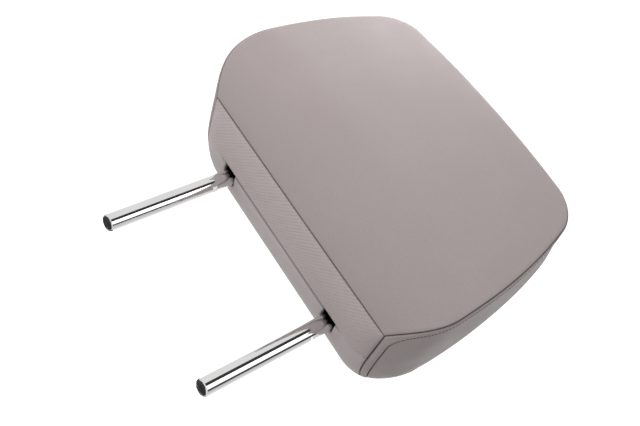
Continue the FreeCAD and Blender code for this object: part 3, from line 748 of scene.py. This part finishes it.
# ---------------------------------------------------------------- topstitching
def stitch_path():
    """Points (along, behind) of the stitch line, from one rear corner round the front to the other."""
    total = band_length()
    start = column_length(np.zeros(1))[0] - STITCH_STOP
    turn = STITCH_IN + STITCH_CORNER
    down = [(STITCH_IN, b) for b in np.arange(start, turn, -STITCH_STEP)]
    angles = np.linspace(0, math.pi / 2, int(STITCH_CORNER * math.pi / 2 / STITCH_STEP))
    corner = [(turn - STITCH_CORNER * math.cos(a), turn - STITCH_CORNER * math.sin(a)) for a in angles]
    along = [(a, STITCH_IN) for a in np.arange(turn, total / 2, STITCH_STEP)]
    half = down + corner + along
    other = [(total - a, b) for a, b in reversed(half)]
    return np.array(half + other), total


def along_line(at, length, values):
    """A three-column line's values at the given lengths along it."""
    return np.stack([np.interp(at, length, values[:, c]) for c in range(3)], -1)


def make_topstitch(puff, material):
    """One small bent rod of thread for each stitch, with its ends down in the cover."""
    path, total = stitch_path()
    s, v = path[:, 0] / total, path[:, 1] / column_length(path[:, 0] / total)
    points = side_band(s, v) + resample(puff["side"], s, v)
    way = inward(points)
    length = np.concatenate([[0], np.cumsum(np.linalg.norm(np.diff(points, axis=0), axis=1))])
    pitch = STITCH_LONG + STITCH_GAP
    t = np.linspace(-1, 1, THREAD_RINGS)                            # from end to end of a stitch
    sink = THREAD_SUNK + THREAD_DIVE * t[:, None] ** 4
    radius = THREAD_R * np.sqrt(np.clip(1 - np.abs(t) ** 5, THREAD_END, 1))
    last = (THREAD_RINGS - 1) * THREAD_SIDES
    verts, faces = [], []
    for k in range(int(length[-1] / pitch)):
        at = k * pitch + pitch / 2 + t * STITCH_LONG / 2
        down = along_line(at, length, way)
        centre = along_line(at, length, points) + down * sink
        tangent = np.gradient(centre, axis=0)
        tangent /= np.linalg.norm(tangent, axis=1, keepdims=True)
        side = np.cross(tangent, down)
        side /= np.linalg.norm(side, axis=1, keepdims=True)
        up = np.cross(side, tangent)
        base = len(verts)
        for i in range(THREAD_RINGS):
            for j in range(THREAD_SIDES):
                a = 2 * math.pi * j / THREAD_SIDES
                out = side[i] * math.cos(a) + up[i] * math.sin(a)
                verts.append((centre[i] + radius[i] * out).tolist())
        for i in range(THREAD_RINGS - 1):
            ring = base + i * THREAD_SIDES
            for j in range(THREAD_SIDES):
                a, b = ring + j, ring + (j + 1) % THREAD_SIDES
                faces.append((a, b, b + THREAD_SIDES, a + THREAD_SIDES))
        faces.append(tuple(base + j for j in reversed(range(THREAD_SIDES))))
        faces.append(tuple(base + last + j for j in range(THREAD_SIDES)))
    return make_mesh("topstitch", verts, faces, material)


# ---------------------------------------------------------------- foam
FOAM_NEAR = COVER_T * 2.5           # foam closer to the cover than this is moved in,
FOAM_IN = COVER_T * 2.2             # by this much less half its distance


def make_foam(name, node, covers, material):
    """The moulded foam inside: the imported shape, eased in wherever the sewn cover lies closer."""
    mesh = frame["nodes"][node].data.copy()
    mesh.name = name
    obj = bpy.data.objects.new(name, mesh)
    bpy.context.scene.collection.objects.link(obj)
    mesh.materials.clear()
    mesh.materials.append(material)
    trees = []
    for cover in covers:
        corners = [v.co for v in cover.data.vertices]
        trees.append(BVHTree.FromPolygons(corners, [tuple(p.vertices) for p in cover.data.polygons]))
    for vert in mesh.vertices:
        nearest = min(tree.find_nearest(vert.co)[3] for tree in trees)
        if nearest < FOAM_NEAR:
            way = Vector(inward(np.array(vert.co)[None])[0])
            vert.co = vert.co + way * (FOAM_IN - nearest * 0.5)
    mesh.update()
    return obj


# ---------------------------------------------------------------- materials
# Colour of the shade painted into the seams, standing in for the shadow in the seam grooves.
PAINTED_SEAM_SHADE = (0.025, 0.02, 0.02)
WAVE = 0.31416                      # a wave texture of this scale has its bands one metre apart


def tint(colour, by):
    return tuple(c * by for c in colour)


class Nodes:
    """A short way to write a node material. Sizes are in metres, in the part's frame."""

    def __init__(self, name):
        self.material = bpy.data.materials.new(name)
        self.material.use_nodes = True
        self.tree = self.material.node_tree
        self.shader = self.tree.nodes["Principled BSDF"]
        self.place = self.add("ShaderNodeTexCoord").outputs["Object"]

    def put(self, socket, value):
        """Links or sets an input; three numbers are a colour where the input is one."""
        if isinstance(value, bpy.types.NodeSocket):
            self.tree.links.new(value, socket)
        elif socket.type == "RGBA":
            socket.default_value = (*value, 1)
        else:
            socket.default_value = value

    def add(self, kind, inputs=None, **settings):
        node = self.tree.nodes.new(kind)
        for key, value in settings.items():
            setattr(node, key, value)
        for key, value in (inputs or {}).items():
            self.put(node.inputs[key], value)
        return node

    def noise(self, scale, detail, rough=0.5, place=None):
        inputs = {"Vector": place or self.place, "Scale": scale, "Detail": detail, "Roughness": rough}
        return self.add("ShaderNodeTexNoise", inputs).outputs["Fac"]

    def stretched(self, scale):
        """Coordinates for marks drawn out along the axis whose scale is the lowest."""
        return self.add("ShaderNodeMapping", {"Vector": self.place, "Scale": scale}).outputs["Vector"]

    def wave(self, place, direction, apart, distortion, **more):
        """Bands this far apart; more sets further inputs, such as Detail."""
        inputs = {"Vector": place, "Scale": WAVE / apart, "Distortion": distortion}
        inputs.update((key.replace("_", " "), value) for key, value in more.items())
        settings = {"wave_type": "BANDS", "bands_direction": direction, "wave_profile": "SIN"}
        return self.add("ShaderNodeTexWave", inputs, **settings).outputs["Fac"]

    def scaled(self, value, to_low, to_high, low=0.3, high=0.7):
        """A value mapped to a new range, from the range that a noise mostly keeps to."""
        inputs = {"Value": value, "From Min": low, "From Max": high}
        inputs.update({"To Min": to_low, "To Max": to_high})
        return self.add("ShaderNodeMapRange", inputs).outputs["Result"]

    def blend(self, factor, a, b):
        node = self.add("ShaderNodeMix", {"Factor": factor}, data_type="RGBA")
        colour_a, colour_b, result = node.inputs[6], node.inputs[7], node.outputs[2]
        self.put(colour_a, a)
        self.put(colour_b, b)
        return result

    def bump(self, height, distance, strength, normal=None):
        inputs = {"Height": height, "Distance": distance, "Strength": strength}
        if normal is not None:
            inputs["Normal"] = normal
        return self.add("ShaderNodeBump", inputs).outputs["Normal"]

    def with_painted_seam_shade(self, colour):
        """The colour, with shade painted where the panel's seam value says."""
        seam = self.add("ShaderNodeAttribute", attribute_name="seam").outputs["Fac"]
        return self.blend(seam, colour, PAINTED_SEAM_SHADE)

    def set(self, **inputs):
        for key, value in inputs.items():
            self.put(self.shader.inputs[key.replace("_", " ")], value)
        return self.material


def leatherette(name, colour):
    """Fine-grained, with a little variation in tone and shine, painted shade in the grain's creases and
    painted shade beside the seams.
    """
    n = Nodes(name)
    tone = n.blend(n.scaled(n.noise(9, 2), 0, 1), tint(colour, 0.965), tint(colour, 1.03))
    cells = {"Vector": n.place, "Scale": 900.0}
    edges = n.add("ShaderNodeTexVoronoi", cells, feature="DISTANCE_TO_EDGE").outputs["Distance"]
    creases = n.scaled(edges, 0, 1, 0, 0.12)
    # The grain's own pattern, with painted shade in its creases: darker along the cell edges.
    grain_with_crease_shade = n.blend(creases, tint(colour, 0.9), tone)
    normal = n.bump(creases, 0.05 * MM, 0.45)
    normal = n.bump(n.noise(2600, 2), 0.03 * MM, 0.25, normal)
    rough = n.scaled(n.noise(60, 4), 0.46, 0.56)
    return n.set(Base_Color=n.with_painted_seam_shade(grain_with_crease_shade), Roughness=rough, Normal=normal, Specular_IOR_Level=0.35)


def twill(name, colour):
    """Ribbed stretch twill: fine slanted ribs, broken up a little along their length, with painted
    light and shade along the ribs and painted shade beside the seams.
    """
    n = Nodes(name)
    slant = {"Vector": n.place, "Rotation": (0, 0, math.radians(-45))}
    turned = n.add("ShaderNodeMapping", slant).outputs["Vector"]
    wander = n.noise(260, 3, place=turned)
    ribs = n.wave(turned, "X", 2.5 * MM, 0.9, Detail=3.0, Detail_Scale=3.0)
    threads = n.wave(turned, "Y", 0.55 * MM, 0.5)
    # Painted light and shade along the ribs: lighter crests, darker hollows.
    lit = n.blend(ribs, tint(colour, 0.87), tint(colour, 1.05))
    lit = n.blend(n.scaled(wander, 0, 0.85, 0.35, 0.65), lit, colour)
    normal = n.bump(ribs, 0.14 * MM, 0.5)
    normal = n.bump(threads, 0.06 * MM, 0.4, normal)
    rough = n.scaled(wander, 0.72, 0.86)
    return n.set(Base_Color=n.with_painted_seam_shade(lit), Roughness=rough, Normal=normal, Specular_IOR_Level=0.25)


def moulded(name, colour, rough):
    """Plastic with a fine moulded texture."""
    n = Nodes(name)
    speck = n.noise(1400, 2)
    tone = n.blend(n.scaled(n.noise(30, 3), 0, 1), tint(colour, 0.85), tint(colour, 1.15))
    shine = n.scaled(speck, rough - 0.06, rough + 0.06)
    return n.set(Base_Color=tone, Roughness=shine, Normal=n.bump(speck, 0.03 * MM, 0.3))


def plated(name):
    """Bright chrome plating with faint wiping marks round the tube."""
    n = Nodes(name)
    marks = n.noise(1, 4, 0.6, n.stretched((60, 60, 900)))
    tone = n.blend(n.scaled(n.noise(35, 3), 0, 1), (0.80, 0.80, 0.80), (0.87, 0.87, 0.86))
    return n.set(Base_Color=tone, Metallic=1.0, Roughness=n.scaled(marks, 0.035, 0.075))


def steel(name, colour):
    """Plain steel with brushing marks."""
    n = Nodes(name)
    marks = n.noise(1, 3, 0.6, n.stretched((1500, 150, 150)))
    tone = n.blend(marks, tint(colour, 0.8), colour)
    rough = n.scaled(marks, 0.28, 0.42)
    return n.set(Base_Color=tone, Metallic=1.0, Roughness=rough, Normal=n.bump(marks, 0.02 * MM, 0.3))


def foam_skin(name, colour):
    """Moulded foam, with its small open cells."""
    n = Nodes(name)
    cells = n.add("ShaderNodeTexVoronoi", {"Vector": n.place, "Scale": 700.0}).outputs["Distance"]
    tone = n.blend(n.noise(25, 3), tint(colour, 0.85), colour)
    return n.set(Base_Color=tone, Roughness=0.9, Normal=n.bump(cells, 0.2 * MM, 0.6))


def thread(name, colour):
    """Sewing thread, a little fibrous."""
    n = Nodes(name)
    strands = n.noise(3000, 2)
    tone = n.blend(strands, tint(colour, 0.75), colour)
    return n.set(Base_Color=tone, Roughness=0.7, Normal=n.bump(strands, 0.05 * MM, 0.5))


looks = {
    "leatherette": leatherette("leatherette", (0.355, 0.305, 0.30)),
    "leatherette_rear": leatherette("leatherette_rear", (0.45, 0.395, 0.395)),      # the rear flap
    "twill": twill("twill", (0.40, 0.35, 0.346)),
    "thread": thread("thread", (0.05, 0.04, 0.04)),
    "plated_steel": plated("plated_steel"),
    "spring_steel": steel("spring_steel", (0.42, 0.42, 0.44)),
    "screw_steel": steel("screw_steel", (0.60, 0.58, 0.52)),
    "bush_plastic": moulded("bush_plastic", (0.80, 0.78, 0.72), 0.4),
    "carrier_plastic": moulded("carrier_plastic", (0.05, 0.05, 0.055), 0.55),
    "guide_plastic": moulded("guide_plastic", (0.012, 0.012, 0.013), 0.45),
    "clip_plastic": moulded("clip_plastic", (0.45, 0.43, 0.41), 0.5),
    "foam": foam_skin("foam", (0.72, 0.66, 0.50)),
}
slot_of = {part["node"]: part["material_slot"] for part in frame["record"]["subparts"]}
for node_name, node in frame["nodes"].items():
    node.data.materials.clear()
    node.data.materials.append(looks[slot_of[node_name]])

# ---------------------------------------------------------------- build the trim
puffed = simulate()
covers = {
    "cover_front_panel": (make_face(puffed, looks["leatherette"]), "leatherette"),
    "cover_side_band": (make_side(puffed, looks["leatherette"]), "leatherette"),
    "cover_rear_panel": (make_rear(puffed, looks["leatherette"]), "leatherette"),
    "cover_front_flap": (make_front_flap(puffed, looks["twill"]), "twill"),
    "cover_rear_flap": (make_rear_flap(puffed, looks["leatherette_rear"]), "leatherette"),
}
cover_objects = [piece for piece, _ in covers.values()]
pieces = dict(covers)
for foam_node, foam_name in (("front_foam", "front_foam_pad"), ("rear_foam", "rear_foam_pad")):
    pieces[foam_node] = (make_foam(foam_name, foam_node, cover_objects, looks["foam"]), "foam")
for replaced, (piece, slot_name) in pieces.items():
    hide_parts(replaced)
    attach(piece, "pad")
stitches = make_topstitch(puffed, looks["thread"])
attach(stitches, "pad")

# ---------------------------------------------------------------- camera, light and floor
CAMERA_AT = Vector((0.2071, -0.4852, -0.2355))
LOOK = Vector((-0.36142, 0.80180, 0.47591))
IMAGE_RIGHT = Vector((0.54202, -0.23463, 0.80694))
FOCAL_MM = 40.28
SENSOR_MM = 36
PAD_MIDDLE = (0, -0.03, 0.06)       # where the lights aim
FLOOR_AT = -0.30
FLOOR_HALF = 20
SKY = 0.84                          # strength of the world's even light,
SKY_BEHIND = 1.25                   # where the main view looks,
SKY_DIMMED = 0.72                   # and the share left towards the dim side
DIM_SIDE = (0.93, -0.25, -0.1)
FLAG_GREYS = ((0.012, 0.012, 0.012), (0.02, 0.02, 0.02))
FLOOR_GREYS = ((0.80, 0.80, 0.80), (0.84, 0.84, 0.84))


def make_camera():
    data = bpy.data.cameras.new("camera")
    data.lens = FOCAL_MM
    data.sensor_width = SENSOR_MM
    data.clip_start = 0.01
    data.clip_end = 100
    camera = bpy.data.objects.new("camera", data)
    bpy.context.scene.collection.objects.link(camera)
    up = IMAGE_RIGHT.cross(LOOK)
    turn = Matrix((IMAGE_RIGHT, up, -LOOK)).transposed()
    camera.matrix_world = Matrix.Translation(CAMERA_AT) @ turn.to_4x4()
    bpy.context.scene.camera = camera


def softbox(name, at, width, height, power, target=PAD_MIDDLE):
    """A rectangular light, in metres and watts."""
    data = bpy.data.lights.new(name, "AREA")
    data.shape = "RECTANGLE"
    data.size = width
    data.size_y = height
    data.energy = power
    light = bpy.data.objects.new(name, data)
    bpy.context.scene.collection.objects.link(light)
    light.location = at
    light.rotation_euler = (Vector(target) - Vector(at)).to_track_quat("-Z", "Y").to_euler()
    return light


def make_world():
    """Soft grey all round, white where the main view looks, dimmer towards the pad's +X side."""
    world = bpy.data.worlds.new("studio")
    bpy.context.scene.world = world
    world.use_nodes = True
    tree = world.node_tree
    background = tree.nodes["Background"]
    coordinates = tree.nodes.new("ShaderNodeTexCoord")

    def lobe(way, start, end, low, high):
        """A value that goes from low to high as the direction nears way; start and end are cosines."""
        dot = tree.nodes.new("ShaderNodeVectorMath")
        dot.operation = "DOT_PRODUCT"
        dot.inputs[1].default_value = Vector(way).normalized()
        tree.links.new(coordinates.outputs["Generated"], dot.inputs[0])
        ramp = tree.nodes.new("ShaderNodeMapRange")
        ramp.interpolation_type = "SMOOTHSTEP"
        ends = {"From Min": start, "From Max": end, "To Min": low, "To Max": high}
        for key, value in ends.items():
            ramp.inputs[key].default_value = value
        tree.links.new(dot.outputs["Value"], ramp.inputs["Value"])
        return ramp.outputs["Result"]

    both = tree.nodes.new("ShaderNodeMath")
    both.operation = "MULTIPLY"
    tree.links.new(lobe(LOOK, 0.70, 0.87, SKY, SKY_BEHIND), both.inputs[0])
    tree.links.new(lobe(DIM_SIDE, 0.3, 0.95, 1.0, SKY_DIMMED), both.inputs[1])
    tree.links.new(both.outputs["Value"], background.inputs["Strength"])
    background.inputs["Color"].default_value = (1, 1, 1, 1)


def stage_sheet(name, corners, greys, scale, rough):
    """A flat four-cornered piece of the studio."""
    n = Nodes(name)
    tone = n.blend(n.noise(scale, 2), *greys)
    sheet = make_mesh(name, corners, [(0, 1, 2, 3)], n.set(Base_Color=tone, Roughness=rough))
    return sheet


def upright(at, width, low, high):
    """Corners of an upright rectangle that faces the part's vertical axis."""
    x, y = at
    reach = math.hypot(x, y)
    dx, dy = -y / reach * width / 2, x / reach * width / 2
    left, right = (x - dx, y - dy), (x + dx, y + dy)
    return [(*left, low), (*right, low), (*right, high), (*left, high)]


def level(low, high, z):
    """Corners of a level rectangle."""
    return [(low[0], low[1], z), (high[0], low[1], z), (high[0], high[1], z), (low[0], high[1], z)]


def make_flag(name, corners, in_posts=True):
    """A black studio flag, seen as a dark line in the plated posts, or else only shading the part."""
    flag = stage_sheet(name, corners, FLAG_GREYS, 5, 0.9)
    flag.visible_camera = False
    flag.visible_diffuse = not in_posts
    flag.visible_glossy = in_posts
    flag.visible_shadow = False


make_camera()
make_world()
floor_corners = level((-FLOOR_HALF, -FLOOR_HALF), (FLOOR_HALF, FLOOR_HALF), FLOOR_AT)
stage_sheet("floor", floor_corners, FLOOR_GREYS, 3, 0.8)
key_light = softbox("key_light", at=(-0.9, -0.95, -0.08), width=1.1, height=0.9, power=8.0)
key_light.visible_glossy = False
floor_patch = (-0.55, -0.1, -0.3)
softbox("floor_light", at=(-0.6, -0.15, 0.9), width=0.5, height=0.8, power=9.0, target=floor_patch)
post_light = softbox("post_light", at=(0.57, -0.57, 0.22), width=0.5, height=0.45, power=1.3)
post_light.visible_diffuse = False
make_flag("flag_front", upright((0.10, -0.60), width=0.36, low=0.02, high=0.36))
make_flag("flag_side", upright((0.79, -0.13), width=0.26, low=0.02, high=0.5))
make_flag("flag_rear", upright((-0.25, 0.58), width=1.6, low=-0.295, high=-0.03))
make_flag("flag_low", level((-0.80, -0.90), (0.50, 0.45), -0.285))
make_flag("flag_shade", upright((0.36, -0.02), width=0.42, low=-0.17, high=0.12), in_posts=False)
bpy.context.scene.view_settings.view_transform = "Standard"
